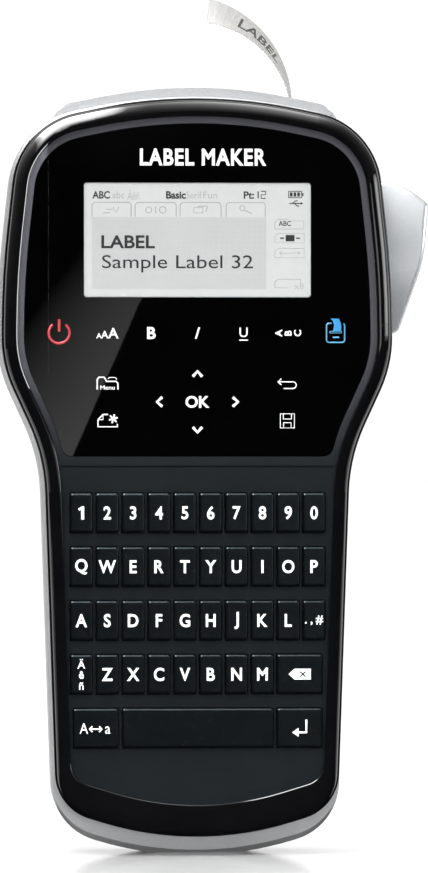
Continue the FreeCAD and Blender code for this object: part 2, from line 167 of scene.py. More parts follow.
def finish_material(name, dark, light, roughness, grain, mottle=90.0, metallic=0.0, specular=0.5,
                    sheen=(1.0, 1.0, 1.0)):
    """Material with mottled colour, uneven roughness and a fine surface grain.

    roughness and grain are pairs: lowest and highest roughness; grains per metre and their depth.
    sheen is the colour of its reflections."""
    material = bpy.data.materials.new(name)
    material.use_nodes = True
    vary_colour(material, noise(material, mottle), dark, light)
    uneven = between(material, noise(material, mottle * 7), 0.3, 0.7, *roughness)
    material.node_tree.links.new(uneven, socket(material, "Roughness"))
    bump(material, noise(material, grain[0], 2.0), grain[1])
    socket(material, "Metallic").default_value = metallic
    socket(material, "Specular IOR Level").default_value = specular
    socket(material, "Specular Tint").default_value = (*sheen, 1)
    return material


def ink(name, dark, light):
    """Slightly rough printing ink."""
    return finish_material(name, dark, light, (0.4, 0.5), (9000, 0.000002))


def tint(material, factor, colour):
    """Mixes a second colour into the base colour where the factor is 1."""
    nodes, links = material.node_tree.nodes, material.node_tree.links
    base = socket(material, "Base Color")
    mix = nodes.new("ShaderNodeMix")
    mix.data_type = "RGBA"
    links.new(base.links[0].from_socket, mix.inputs["A"])
    mix.inputs["B"].default_value = (*colour, 1)
    links.new(factor, mix.inputs["Factor"])
    links.new(mix.outputs["Result"], base)


def fine_grid(material, pitch, line, colour):
    """Thin lines up and across the front, as between the dots of a display."""
    lines = []
    for axis in ("X", "Z"):
        steps = maths(material, "DIVIDE", object_axis(material, axis), pitch)
        lines.append(maths(material, "LESS_THAN", maths(material, "FRACT", steps, 0), line))
    tint(material, maths(material, "MAXIMUM", *lines), colour)


def painted_grazing_shade(material, share):
    """Painted shade: darkens the base colour towards grazing views, down to a share of it."""
    nodes, links = material.node_tree.nodes, material.node_tree.links
    base = socket(material, "Base Color")
    facing = nodes.new("ShaderNodeLayerWeight")
    facing.inputs["Blend"].default_value = 0.5
    scale = nodes.new("ShaderNodeVectorMath")
    scale.operation = "SCALE"
    links.new(base.links[0].from_socket, scale.inputs[0])
    links.new(between(material, facing.outputs["Facing"], 0.2, 0.9, 1.0, share), scale.inputs["Scale"])
    links.new(scale.outputs["Vector"], base)


MATERIALS = {
    "gloss_black_plastic": finish_material(
        "gloss_black_plastic", (0.0022, 0.0022, 0.0026), (0.0032, 0.0032, 0.0036), (0.03, 0.05),
        (350, 0.0000015), specular=0.42),
    "black_acrylic": finish_material(
        "black_acrylic", (0.0005, 0.0005, 0.0006), (0.0009, 0.0009, 0.0011), (0.005, 0.012),
        (200, 0.0000002), specular=0.5),
    "satin_charcoal_plastic": finish_material(
        "satin_charcoal_plastic", (0.0038, 0.0045, 0.0052), (0.0048, 0.0056, 0.0064), (0.30, 0.36),
        (9000, 0.000003), specular=0.3, sheen=(0.72, 0.90, 1.0)),
    "key_plastic": finish_material(
        "key_plastic", (0.0012, 0.0016, 0.0019), (0.0018, 0.0023, 0.0027), (0.22, 0.28), (7000, 0.000002),
        specular=0.36, sheen=(0.72, 0.90, 1.0)),
    "silver_plastic": finish_material(
        "silver_plastic", (0.45, 0.455, 0.465), (0.50, 0.505, 0.515), (0.30, 0.38), (6000, 0.000003),
        mottle=2500, metallic=0.5, specular=0.4),
    "satin_silver_plastic": finish_material(
        "satin_silver_plastic", (0.62, 0.64, 0.665), (0.68, 0.70, 0.725), (0.20, 0.28), (6000, 0.000004),
        mottle=2500, metallic=0.55, specular=0.5),
    "display_glass": finish_material(
        "display_glass", (0.485, 0.497, 0.495), (0.50, 0.512, 0.51), (0.16, 0.20), (1500, 0.0000005),
        mottle=400, specular=0.3),
    "grey_silicone": finish_material(
        "grey_silicone", (0.20, 0.20, 0.21), (0.25, 0.25, 0.26), (0.55, 0.65), (3000, 0.00001)),
    "circuit_board": finish_material(
        "circuit_board", (0.01, 0.10, 0.04), (0.02, 0.14, 0.06), (0.3, 0.4), (2000, 0.00002)),
    "battery_shell": finish_material(
        "battery_shell", (0.02, 0.02, 0.022), (0.03, 0.03, 0.033), (0.3, 0.4), (2000, 0.00001)),
    "steel": finish_material(
        "steel", (0.50, 0.50, 0.51), (0.60, 0.60, 0.61), (0.2, 0.35), (5000, 0.000006), metallic=1.0),
    "engine_plastic": finish_material(
        "engine_plastic", (0.05, 0.05, 0.055), (0.07, 0.07, 0.075), (0.45, 0.55), (4000, 0.00001)),
    "roller_rubber": finish_material(
        "roller_rubber", (0.02, 0.02, 0.02), (0.03, 0.03, 0.03), (0.6, 0.75), (6000, 0.00002)),
    "cassette_plastic": finish_material(
        "cassette_plastic", (0.03, 0.03, 0.033), (0.045, 0.045, 0.048), (0.4, 0.5), (5000, 0.00001)),
    "label_tape": finish_material(
        "label_tape", (0.36, 0.355, 0.345), (0.42, 0.415, 0.40), (0.40, 0.48), (2500, 0.000001), mottle=160),
}

INK_WHITE = ink("ink_white", (0.86, 0.86, 0.86), (0.93, 0.93, 0.93))
INK_RED = ink("ink_red", (0.40, 0.014, 0.022), (0.48, 0.020, 0.028))
INK_BLUE = ink("ink_blue", (0.003, 0.20, 0.47), (0.006, 0.24, 0.55))
INK_CYAN = ink("ink_cyan", (0.04, 0.26, 0.44), (0.06, 0.30, 0.50))
INK_BLACK = ink("ink_black", (0.004, 0.004, 0.0045), (0.007, 0.007, 0.0075))
SEGMENT_DARK = finish_material(
    "segment_dark", (0.008, 0.0085, 0.0095), (0.012, 0.0125, 0.0135), (0.3, 0.4), (9000, 0.000001))
SEGMENT_FAINT = finish_material(
    "segment_faint", (0.30, 0.305, 0.31), (0.33, 0.335, 0.34), (0.3, 0.4), (9000, 0.000001))
SCREEN_FIELD = finish_material(
    "screen_field", (0.37, 0.378, 0.378), (0.39, 0.398, 0.398), (0.3, 0.4), (9000, 0.0000005))
fine_grid(SCREEN_FIELD, 0.33 * MM, 0.16, (0.46, 0.47, 0.47))

# Painted shade: the silver turns darker where it is seen from the side, as metallic paint does, so that the
# side walls and edges look shaded.
painted_grazing_shade(MATERIALS["silver_plastic"], 0.32)
painted_grazing_shade(MATERIALS["satin_silver_plastic"], 0.5)

# The front plate is lighter and a little purple in the rim round the control panel.
DECK = MATERIALS["satin_charcoal_plastic"]
tint(DECK, between(DECK, object_axis(DECK, "Z"), RIM_LOW_Z, RIM_HIGH_Z), (0.058, 0.054, 0.061))


def paint_nodes():
    """Gives every CAD node the material of its slot."""
    for part in frame["record"]["subparts"]:
        for entry in NODES[part["node"]].material_slots:
            entry.material = MATERIALS[part["material_slot"]]


# ---------------------------------------------------------------- pieces

def add(name, data, material, body):
    """Object in the scene with one material, riding on a body."""
    piece = bpy.data.objects.new(name, data)
    bpy.context.scene.collection.objects.link(piece)
    data.materials.append(material)
    bpy.context.view_layer.update()
    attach(piece, body)
    return piece


def text_shape(text, height, bold=0.0, shear=0.0, width=None, turn=0.0, spacing=1.0, narrow=1.0):
    """Flat text as loose triangles, centred: points and faces. A width sets its size, narrow scales it."""
    curve = bpy.data.curves.new("text", "FONT")
    curve.body = text
    curve.size = height / CAPITAL_SHARE
    curve.offset = bold * height
    curve.shear = shear
    curve.space_character = spacing
    curve.align_x, curve.align_y = "CENTER", "CENTER"
    curve.resolution_u = 4
    maker = bpy.data.objects.new("text", curve)
    bpy.context.scene.collection.objects.link(maker)
    bpy.context.view_layer.update()
    mesh = bpy.data.meshes.new_from_object(maker)
    points = [Vector(v.co) for v in mesh.vertices]
    faces = [list(f.vertices) for f in mesh.polygons]
    bpy.data.objects.remove(maker)
    middle_x = (min(p.x for p in points) + max(p.x for p in points)) / 2
    middle_y = (min(p.y for p in points) + max(p.y for p in points)) / 2
    stretch = width / (max(p.x for p in points) - min(p.x for p in points)) if width else narrow
    flat = [((p.x - middle_x) * stretch, p.y - middle_y) for p in points]
    cos, sin = math.cos(math.radians(turn)), math.sin(math.radians(turn))
    return [(x * cos - y * sin, x * sin + y * cos) for x, y in flat], faces


def sliced(flat, faces, step):
    """The same flat shape cut into narrow upright slices, so that it can follow a curve."""
    shape = bmesh.new()
    corners = [shape.verts.new((x, y, 0)) for x, y in flat]
    for face in faces:
        shape.faces.new([corners[i] for i in face])
    reach = max(abs(x) for x, _ in flat)
    for i in range(-int(reach / step), int(reach / step) + 1):
        everything = shape.verts[:] + shape.edges[:] + shape.faces[:]
        bmesh.ops.bisect_plane(shape, geom=everything, plane_co=(i * step, 0, 0), plane_no=(1, 0, 0))
    shape.verts.index_update()
    points = [(v.co.x, v.co.y) for v in shape.verts]
    cut = [[v.index for v in face.verts] for face in shape.faces]
    shape.free()
    return points, cut


def raised(name, flat, faces, place, material, body):
    """Thin solid of ink: flat points placed by a function of x, y and lift."""
    shape = bmesh.new()
    low = [shape.verts.new(place(x, y, 0.0)) for x, y in flat]
    high = [shape.verts.new(place(x, y, INK_DEPTH)) for x, y in flat]
    sides = {}
    for face in faces:
        shape.faces.new([high[i] for i in face])
        shape.faces.new([low[i] for i in reversed(face)])
        for a, b in zip(face, face[1:] + face[:1]):
            sides[(a, b)] = sides.get((a, b), 0) + 1
    for a, b in sides:
        if (b, a) not in sides:
            shape.faces.new([low[a], low[b], high[b], high[a]])
    mesh = bpy.data.meshes.new(name)
    shape.normal_update()
    shape.to_mesh(mesh)
    shape.free()
    return add(name, mesh, material, body)


def on_front(x, y, z):
    """Places flat points upright at a point of a surface that faces the front."""
    return lambda px, pz, lift: Vector((x + px, y - INK_GAP - lift, z + pz))


def front_text(name, text, x, y, z, height, material, body="root", **style):
    """Printed text that faces the front."""
    flat, faces = text_shape(text, height, **style)
    return raised(name, flat, faces, on_front(x, y, z), material, body)


def front_shape(name, outline, x, y, z, material, body="root"):
    """Filled printed shape that faces the front, its outline in millimetres, anticlockwise."""
    flat = [(px * MM, pz * MM) for px, pz in outline]
    return raised(name, flat, [list(range(len(flat)))], on_front(x, y, z), material, body)


def strokes(name, lines, width, x, y, z, material, body="root"):
    """Printed lines of an even width, given in millimetres from a point of a front surface."""
    curve = bpy.data.curves.new(name, "CURVE")
    curve.dimensions = "3D"
    curve.bevel_depth = width * MM / 2
    curve.bevel_resolution = 1
    curve.use_fill_caps = True
    for line in lines:
        closed = line[0] == line[-1]
        points = line[:-1] if closed else line
        spline = curve.splines.new("POLY")
        spline.points.add(len(points) - 1)
        for point, (px, pz) in zip(spline.points, points):
            point.co = (px * MM, 0, pz * MM, 1)
        spline.use_cyclic_u = closed
    maker = bpy.data.objects.new(name, curve)
    bpy.context.scene.collection.objects.link(maker)
    bpy.context.view_layer.update()
    mesh = bpy.data.meshes.new_from_object(maker)
    bpy.data.objects.remove(maker)
    for vertex in mesh.vertices:
        flat_y = vertex.co.y / (width * MM) * INK_DEPTH
        vertex.co = Vector((x + vertex.co.x, y - INK_GAP - INK_DEPTH / 2 + flat_y, z + vertex.co.z))
    return add(name, mesh, material, body)


def arc(cx, cz, radius, start, end, steps=20):
    """Points along an arc, angles in degrees."""
    turns = [math.radians(start + (end - start) * i / steps) for i in range(steps + 1)]
    return [(cx + radius * math.cos(t), cz + radius * math.sin(t)) for t in turns]


# ---------------------------------------------------------------- legends

UNLETTERED = ("space", "backspace", "enter", "capitals", "accent")
DIGIT_ONE = [(-0.05, -1.75), (0.75, -1.75), (0.75, 1.75), (0.15, 1.75),
             (-0.85, 1.15), (-0.6, 0.55), (-0.05, 0.85)]


def key_face(node):
    """Centre of a key's face."""
    low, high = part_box(node)
    return (low.x + high.x) / 2, low.y, (low.z + high.z) / 2


def key_legends():
    """Printed legend on each lettered key, riding with it."""
    for node in sorted(n for n in NODES if n.startswith("key_")):
        x, y, z = key_face(node)
        name = node[len("key_"):]
        legend = "legend_" + name
        if name == "digit_1":
            front_shape(legend, DIGIT_ONE, x, y, z, INK_WHITE, node)
        elif name == "punctuation":
            front_text(legend, ".,#", x, y, z, 2.5 * MM, INK_WHITE, node,
                       bold=0.02, width=4.9 * MM, spacing=1.5)
        elif name not in UNLETTERED:
            letter = name.replace("digit_", "").upper()
            front_text(legend, letter, x, y, z, 3.5 * MM, INK_WHITE, node, bold=0.032, narrow=0.88)


def capitals_legend():
    """Large and small letter with an arrow between them."""
    node = "key_capitals"
    x, y, z = key_face(node)
    front_text("legend_capitals_large", "A", x - 3.2 * MM, y, z, 3.0 * MM, INK_WHITE, node, narrow=0.82)
    front_text("legend_capitals_small", "a", x + 3.2 * MM, y, z - 0.45 * MM, 3.1 * MM, INK_WHITE, node,
               narrow=0.85)
    arrow = [[(-1.7, 0), (1.7, 0)], [(-0.9, 0.75), (-1.7, 0), (-0.9, -0.75)],
             [(0.9, 0.75), (1.7, 0), (0.9, -0.75)]]
    strokes("legend_capitals_arrow", arrow, 0.42, x, y, z - 0.2 * MM, INK_WHITE, node)


def enter_legend():
    """Bent arrow."""
    node = "key_enter"
    x, y, z = key_face(node)
    strokes("legend_enter", [[(1.8, 2.2), (1.8, -1.2), (-0.6, -1.2)]], 0.62, x, y, z, INK_WHITE, node)
    head = [(-2.0, -1.2), (-0.3, -2.4), (-0.3, 0.0)]
    front_shape("legend_enter_head", head, x, y, z, INK_WHITE, node)


def backspace_legend():
    """White flag with a black cross on it."""
    node = "key_backspace"
    x, y, z = key_face(node)
    flag = [(-3.0, 0), (-1.4, -1.45), (3.0, -1.45), (3.0, 1.45), (-1.4, 1.45)]
    front_shape("legend_backspace", flag, x, y, z, INK_WHITE, node)
    cross = [[(0.1, 0.7), (1.6, -0.7)], [(0.1, -0.7), (1.6, 0.7)]]
    strokes("legend_backspace_cross", cross, 0.46, x, y - 0.03 * MM, z, INK_BLACK, node)


def accent_legend():
    """Three accented letters, one below the other."""
    node = "key_accent"
    x, y, z = key_face(node)
    for number, text, step in ((6, "Ä", 2.9), (3, "ê", -0.1), (0, "ñ", -3.1)):
        name = "legend_accent_%d" % number
        front_text(name, text, x, y, z + step * MM, 2.2 * MM, INK_WHITE, node, bold=0.012)


class Sheet:
    """Printing on one flat front surface, with places in millimetres from a reference point."""

    def __init__(self, prefix, x, y, z):
        self.prefix, self.x, self.y, self.z = prefix, x, y, z

    def text(self, name, text, x, z, height, material, **style):
        if "width" in style:
            style["width"] *= MM
        return front_text(self.prefix + name, text, self.x + x * MM, self.y, self.z + z * MM, height * MM,
                          material, **style)

    def lines(self, name, lines, width, x, z, material):
        return strokes(self.prefix + name, lines, width, self.x + x * MM, self.y, self.z + z * MM, material)

    def shape(self, name, outline, x, z, material):
        return front_shape(self.prefix + name, outline, self.x + x * MM, self.y, self.z + z * MM, material)


def frame_line(left, right, bottom, top):
    """Closed rectangle as a line."""
    return [(left, bottom), (right, bottom), (right, top), (left, top), (left, bottom)]


def chevron(dx, dz):
    """Arrowhead line that points along one axis."""
    tip, back = 0.7, 1.25
    if dx:
        return [(-dx * tip, back), (dx * tip, 0), (-dx * tip, -back)]
    return [(-back, -dz * tip), (0, dz * tip), (back, -dz * tip)]


# ---------------------------------------------------------------- control panel

def text_icons(panel):
    """Title, power ring and the icons made of letters."""
    panel.text("title", "LABEL MAKER", 1.5, 80.4, 4.5, INK_WHITE, bold=0.04, width=34.0, spacing=1.1)
    panel.lines("power", [arc(0, 0, 2.8, 128, 412, 32)], 0.75, -37.2, 33.1, INK_RED)
    panel.lines("power_bar", [[(0, 0.4), (0, 3.7)]], 0.75, -37.2, 33.1, INK_RED)
    for name, x, height in (("small", -2.1, 1.5), ("middle", -0.55, 2.1), ("large", 1.75, 2.9)):
        panel.text("size_" + name, "A", -24.4 + x, 31.6 + height / 2, height, INK_WHITE, bold=0.02)
    panel.text("bold", "B", -12.4, 33.1, 3.2, INK_WHITE, bold=0.04)
    panel.text("italic", "I", 0, 33.1, 3.2, INK_WHITE, bold=0.01, shear=0.3)
    panel.text("underline", "U", 12.4, 33.3, 2.7, INK_WHITE, bold=0.005)
    panel.lines("underline_bar", [[(-1.2, 0), (1.2, 0)]], 0.3, 12.4, 31.2, INK_WHITE)
    for name, text, x in (("a", "A", -2.55), ("b", "B", 0), ("c", "C", 2.55)):
        panel.text("vertical_" + name, text, 24.4 + x, 33.1, 1.9, INK_WHITE, bold=0.03, turn=90)


def print_icon(panel):
    """Tray with a label that curls out of it."""
    left = arc(-1.75, 1.95, 0.7, 90, 180, 6) + arc(-1.75, -1.8, 0.7, 180, 270, 6)
    right = arc(1.75, -1.8, 0.7, 270, 360, 6) + arc(1.75, 1.95, 0.7, 0, 60, 4)
    panel.lines("print_tray", [[(-1.1, 2.65)] + left + right], 0.42, 37.2, 33.1, INK_CYAN)
    label = [(-0.65, 0.6), (1.45, 0.6), (1.55, 1.6), (1.4, 2.7),
             (0.9, 3.9), (-1.35, 3.95), (-0.7, 3.2), (-0.4, 2.1)]
    panel.shape("print_label", label, 37.2, 33.1, INK_BLUE)
    panel.lines("print_slot", [frame_line(-1.55, 1.6, 0.05, 0.5)], 0.26, 37.2, 33.1, INK_CYAN)
    panel.lines("print_dash", [[(-0.75, -1.15), (0.95, -1.15)]], 0.46, 37.2, 33.1, INK_CYAN)


def menu_icon(panel):
    """Open folder with a word in it."""
    x, z = -24.2, 19.5
    folder = [(-2.75, -1.6), (-2.75, 1.1), (-2.3, 1.7), (-0.85, 1.7),
              (-0.25, 0.6), (2.3, 0.6), (2.8, 0.1), (2.8, -1.6)]
    panel.lines("menu_folder", [folder], 0.4, x, z, INK_WHITE)
    panel.lines("menu_back", [[(0.1, 1.25), (0.5, 1.65), (2.1, 1.65), (2.5, 1.1)]], 0.24, x, z, INK_WHITE)
    panel.text("menu_word", "Menu", x, z - 1.05, 1.15, INK_WHITE, bold=0.02, width=3.9)


def special_icon(panel):
    """Label with a folded corner and a six-pointed star."""
    x, z = -24.2, 9.5
    label = [(0.15, 1.7), (-1.2, 1.7), (-2.55, 0.3), (-2.55, -1.6), (2.65, -1.6), (2.65, -0.8)]
    panel.lines("special_label", [label], 0.4, x, z, INK_WHITE)
    panel.lines("special_fold", [[(-2.4, 0.3), (-1.2, 0.3), (-1.2, 1.6)]], 0.26, x, z, INK_WHITE)
    star = []
    for degrees in (15, 75, 135):
        dx, dz = 1.2 * math.cos(math.radians(degrees)), 1.2 * math.sin(math.radians(degrees))
        star.append([(1.55 - dx, 0.55 - dz), (1.55 + dx, 0.55 + dz)])
    panel.lines("special_star", star, 0.52, x, z, INK_WHITE)


def return_and_save_icons(panel):
    """Arrow that bends back, and a disk."""
    head = [(-1.6, 1.3), (-2.6, 0.5), (-1.6, -0.3)]
    loop = [(-2.4, 0.5), (1.5, 0.5)] + arc(1.5, -0.4, 0.9, 90, -90, 10) + [(-1.0, -1.3)]
    panel.lines("return", [head, loop], 0.32, 24.2, 19.5, INK_WHITE)
    disk = [frame_line(-1.9, 1.9, -1.9, 1.9), frame_line(-1.0, 1.0, -1.9, -0.5),
            [(-1.1, 1.9), (-1.1, 0.5), (1.1, 0.5), (1.1, 1.9)]]
    panel.lines("save_disk", disk, 0.28, 24.2, 9.5, INK_WHITE)


def arrow_icons(panel):
    """The word in the middle and the four arrows round it."""
    middle_z = 14.6
    panel.text("ok", "OK", 0, middle_z, 3.1, INK_WHITE, bold=0.035)
    for name, x, z in (("up", 0, 7.5), ("down", 0, -7.5), ("left", -10.2, 0), ("right", 10.2, 0)):
        head = chevron((x > 0) - (x < 0), (z > 0) - (z < 0))
        panel.lines("arrow_" + name, [head], 0.9, x, middle_z + z, INK_WHITE)


def panel_printing():
    """Title and icons on the control panel, with places from the middle of its lower edge."""
    panel = Sheet("panel_", 0.0, PANEL_LOW.y, PANEL_LOW.z)
    text_icons(panel)
    print_icon(panel)
    menu_icon(panel)
    special_icon(panel)
    return_and_save_icons(panel)
    arrow_icons(panel)


# ---------------------------------------------------------------- display

def status_line(screen):
    """Words, size and battery along the top of the display."""
    for name, text, left, right, z, size, material, bold in (
            ("caps", "ABC", 2.4, 7.1, -3.4, 2.0, SEGMENT_DARK, 0.035),
            ("lower", "abc", 7.8, 11.0, -3.4, 2.0, SEGMENT_FAINT, 0.0),
            ("accents", "Åêñ", 11.8, 15.0, -3.3, 2.2, SEGMENT_FAINT, 0.0),
            ("basic", "Basic", 22.2, 27.5, -3.4, 2.0, SEGMENT_DARK, 0.045),
            ("serif", "Serif", 27.7, 31.8, -3.4, 2.0, SEGMENT_FAINT, 0.0),
            ("fun", "Fun", 32.2, 36.0, -3.4, 2.0, SEGMENT_FAINT, 0.0),
            ("points", "Pt:", 43.1, 45.9, -3.4, 2.0, SEGMENT_DARK, 0.035)):
        screen.text(name, text, (left + right) / 2, z, size, material, bold=bold, width=right - left)
    two = [(0, 0.95), (1.2, 0.95), (1.2, 0), (0, 0), (0, -0.95), (1.2, -0.95)]
    screen.lines("twelve", [[(-0.8, 0.95), (-0.8, -0.95)], two], 0.34, 47.8, -3.3, SEGMENT_DARK)
    battery = frame_line(-1.9, 1.6, -0.85, 0.85)
    screen.lines("battery", [battery, [(1.95, 0.4), (1.95, -0.4)]], 0.34, 57.1, -3.2, SEGMENT_DARK)
    for i in range(3):
        cell = [(-1.55 + i, -0.55), (-0.85 + i, -0.55), (-0.85 + i, 0.55), (-1.55 + i, 0.55)]
        screen.shape("battery_cell_%d" % i, cell, 57.1, -3.2, SEGMENT_DARK)
    plug = [[(-1.8, 0), (1.5, 0)], [(-0.9, 0), (-0.2, 0.7), (0.5, 0.7)],
            [(-0.4, 0), (0.3, -0.7), (0.9, -0.7)]]
    screen.lines("plug", plug, 0.32, 57.2, -5.6, SEGMENT_DARK)
    screen.shape("plug_head", [(1.3, -0.4), (1.9, 0), (1.3, 0.4)], 57.2, -5.6, SEGMENT_DARK)


def screen_tab(left, right):
    """Outline of one tab, open at the bottom, in millimetres down and across from the corner."""
    return [(left, -9.2), (left, -6.0), (left + 0.6, -5.4), (right - 0.6, -5.4), (right, -6.0), (right, -9.2)]


def tabs(screen):
    """Four tabs, each with a mark in it."""
    marks = [[[(-2.2, -0.8), (-0.4, -0.8)], [(-1.4, 0.1), (0.2, 0.1)], [(0.4, 0.8), (1.2, -0.8), (2.0, 0.8)]],
             [arc(-1.9, 0, 0.8, 0, 360, 12), [(0, 0.9), (0, -0.9)], arc(1.9, 0, 0.9, 0, 360, 12)],
             [frame_line(-1.8, 0.6, -0.8, 0.6), [(-0.8, 1.0), (1.9, 1.0), (1.4, -0.6)]],
             [arc(-0.9, 0.5, 0.7, 0, 360, 12), [(-0.4, 0.0), (1.7, -1.0)]]]
    for i, (left, right) in enumerate(((2.3, 12.8), (13.9, 24.9), (26.0, 37.0), (38.4, 48.9))):
        screen.lines("tab_%d" % i, [screen_tab(left, right)], 0.26, 0, 0, SEGMENT_FAINT)
        screen.lines("tab_mark_%d" % i, marks[i], 0.3, (left + right) / 2, -7.4, SEGMENT_FAINT)


def dot_field(screen):
    """Grey field with two lines of text in front of it."""
    field = [(2.3, -28.7), (49.2, -28.7), (49.2, -9.4), (2.3, -9.4)]
    screen.shape("dot_field", field, 0, 0, SCREEN_FIELD)
    screen.y -= FIELD_STEP
    screen.text("line_one", "LABEL", 12.0, -16.0, 3.5, SEGMENT_DARK, bold=0.03, width=14.4)
    screen.text("line_two", "Sample Label 32", 25.3, -21.9, 3.7, SEGMENT_DARK, bold=0.0, width=40.6)
    screen.y += FIELD_STEP


def side_icons(screen):
    """Mirror, layout, length and copies down the right side."""
    x, thin = 55.5, 0.2
    page = [(-4.0, -1.2), (-4.0, 0.6), (-3.2, 1.4), (-0.4, 1.4)]
    mirror = [page, [(-4.0, -1.2), (3.6, -1.2)], [(0.6, 1.0), (3.8, 1.0), (3.8, -1.2)]]
    screen.lines("mirror_page", mirror, thin, x, -11.3, SEGMENT_FAINT)
    screen.text("mirror_word", "ABC", 54.2, -11.0, 1.4, SEGMENT_DARK, bold=0.02, width=3.4)
    label = [(-4.0, -1.2), (-4.0, 0.5), (-3.2, 1.3), (3.9, 1.3), (3.9, -1.2), (-4.0, -1.2)]
    screen.lines("layout", [label], thin, x, -15.0, SEGMENT_FAINT)
    screen.shape("layout_block", [(-1.1, -0.8), (1.3, -0.8), (1.3, 0.9), (-1.1, 0.9)], x, -15.0, SEGMENT_DARK)
    rules = [[(-2.6, 0.05), (-1.5, 0.05)], [(1.7, 0.05), (2.8, 0.05)]]
    screen.lines("layout_rules", rules, 0.4, x, -15.0, SEGMENT_DARK)
    length = [label, [(-2.8, 0), (2.8, 0)],
              [(-2.2, 0.5), (-2.8, 0), (-2.2, -0.5)], [(2.2, 0.5), (2.8, 0), (2.2, -0.5)]]
    screen.lines("length", length, thin, x, -19.0, SEGMENT_FAINT)
    copies = [[(-4.0, -1.1), (-4.0, 0.4), (-3.2, 1.2), (2.9, 1.2), (2.9, -0.2)], [(-4.0, -1.1), (-0.6, -1.1)]]
    screen.lines("copies", copies, thin, x, -27.2, SEGMENT_FAINT)
    screen.text("copies_number", "x8", 58.0, -27.9, 1.6, SEGMENT_FAINT, width=2.6)


def screen_printing():
    """Everything that the display shows, with places from the top left corner of its glass."""
    screen = Sheet("screen_", SCREEN_LEFT_X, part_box("display_module")[0].y, SCREEN_TOP_Z)
    status_line(screen)
    tabs(screen)
    dot_field(screen)
    side_icons(screen)


# ---------------------------------------------------------------- label

def strip_printing():
    """Word printed along the outer face of the curling label."""
    strip = NODES["label_strip"]
    low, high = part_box("label_strip")
    centre = Vector((high.x - CURL_CENTRE_INSET - CURL_RADIUS, (low.y + high.y) / 2,
                     high.z - CURL_CENTRE_BELOW_TOP))
    length = CURL_RADIUS * math.radians(WORD_START - WORD_END)
    flat, faces = text_shape("LABEL", WORD_LETTER, bold=0.02, width=length)
    flat, faces = sliced(flat, faces, 0.5 * MM)
    middle_turn = math.radians((WORD_START + WORD_END) / 2)
    inward = strip.matrix_world.inverted()

    def place(x, y, lift):
        turn = middle_turn - x / CURL_RADIUS
        outward = Vector((math.cos(turn), 0, math.sin(turn)))
        start = centre + outward * (CURL_RADIUS + 8 * MM) + Vector((0, y, 0))
        hit, spot, normal, _ = strip.ray_cast(inward @ start, inward.to_3x3() @ -outward)
        assert hit, "the word must lie on the label"
        return strip.matrix_world @ (spot + normal * (2 * INK_GAP + lift))

    raised("strip_word", flat, faces, place, INK_BLACK, "label_strip")


# ---------------------------------------------------------------- camera and studio

def camera():
    """Long lens straight in front, a little to the left, framing the whole object."""
    low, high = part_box("front_bezel")
    turn = math.radians(CAMERA_TURN)
    picture_height = (high.z - low.z) * PICTURE_SHARE
    target = Vector(((low.x + high.x) / 2 + 4.7 * MM, PANEL_LOW.y + 5 * MM, picture_height / 2 - 5 * MM))
    data = bpy.data.cameras.new("camera")
    data.sensor_width = SENSOR_WIDTH
    data.lens = SENSOR_WIDTH * CAMERA_DISTANCE / picture_height
    data.clip_end = 50.0
    eye = bpy.data.objects.new("camera", data)
    bpy.context.scene.collection.objects.link(eye)
    eye.location = target + Vector((-math.sin(turn), -math.cos(turn), 0)) * CAMERA_DISTANCE
    eye.rotation_euler = (target - eye.location).to_track_quat("-Z", "Y").to_euler()
    bpy.context.scene.camera = eye
    return eye


def area_light(name, place, aim, size, power):
    """Soft rectangular light that reflections don't show."""
    data = bpy.data.lights.new(name, "AREA")
    data.shape = "RECTANGLE"
    data.size, data.size_y = size
    data.energy = power
    light = bpy.data.objects.new(name, data)
    bpy.context.scene.collection.objects.link(light)
    light.location = place
    light.rotation_euler = (Vector(aim) - Vector(place)).to_track_quat("-Z", "Y").to_euler()
    light.visible_glossy = False


def card(name, corners, strength=0.0, faces=None):
    """Card out of the camera's sight, which shows only in reflections. It is black without a strength."""
    mesh = bpy.data.meshes.new(name)
    mesh.from_pydata(corners, [], faces or [list(range(len(corners)))])
    material = bpy.data.materials.new(name)
    material.use_nodes = True
    socket(material, "Base Color").default_value = (0, 0, 0, 1)
    socket(material, "Specular IOR Level").default_value = 0
    socket(material, "Emission Color").default_value = (1, 1, 1, 1)
    socket(material, "Emission Strength").default_value = strength
    mesh.materials.append(material)
    piece = bpy.data.objects.new(name, mesh)
    bpy.context.scene.collection.objects.link(piece)
    piece.visible_camera = False
    piece.visible_diffuse = False
    piece.visible_shadow = False
    return piece


def show_one_side(piece):
    """Leaves a card visible only from the side that its face points to."""
    material = piece.data.materials[0]
    nodes, links = material.node_tree.nodes, material.node_tree.links
    side = nodes.new("ShaderNodeNewGeometry")
    mix = nodes.new("ShaderNodeMixShader")
    output = nodes["Material Output"].inputs["Surface"]
    links.new(side.outputs["Backfacing"], mix.inputs["Fac"])
    links.new(nodes["Principled BSDF"].outputs["BSDF"], mix.inputs[1])
    links.new(nodes.new("ShaderNodeBsdfTransparent").outputs["BSDF"], mix.inputs[2])
    links.new(mix.outputs["Shader"], output)


def level(stops, value):
    """Value read from a list of pairs, with straight lines between them."""
    for (start, low), (end, high) in zip(stops, stops[1:]):
        if value <= end:
            return low + (high - low) * max(0.0, value - start) / (end - start)
    return stops[-1][1]


def glow_from_points(piece, glow):
    """Gives a card its own strength at every corner, blended in between."""
    piece.data.attributes.new("glow", "FLOAT", "POINT").data.foreach_set("value", glow)
    material = piece.data.materials[0]
    read = material.node_tree.nodes.new("ShaderNodeAttribute")
    read.attribute_name = "glow"
    material.node_tree.links.new(read.outputs["Fac"], socket(material, "Emission Strength"))


def grid_faces(rows, columns):
    """Faces between the points of a grid stored row by row."""
    return [[r * columns + c, r * columns + c + 1, (r + 1) * columns + c + 1, (r + 1) * columns + c]
            for r in range(rows - 1) for c in range(columns - 1)]


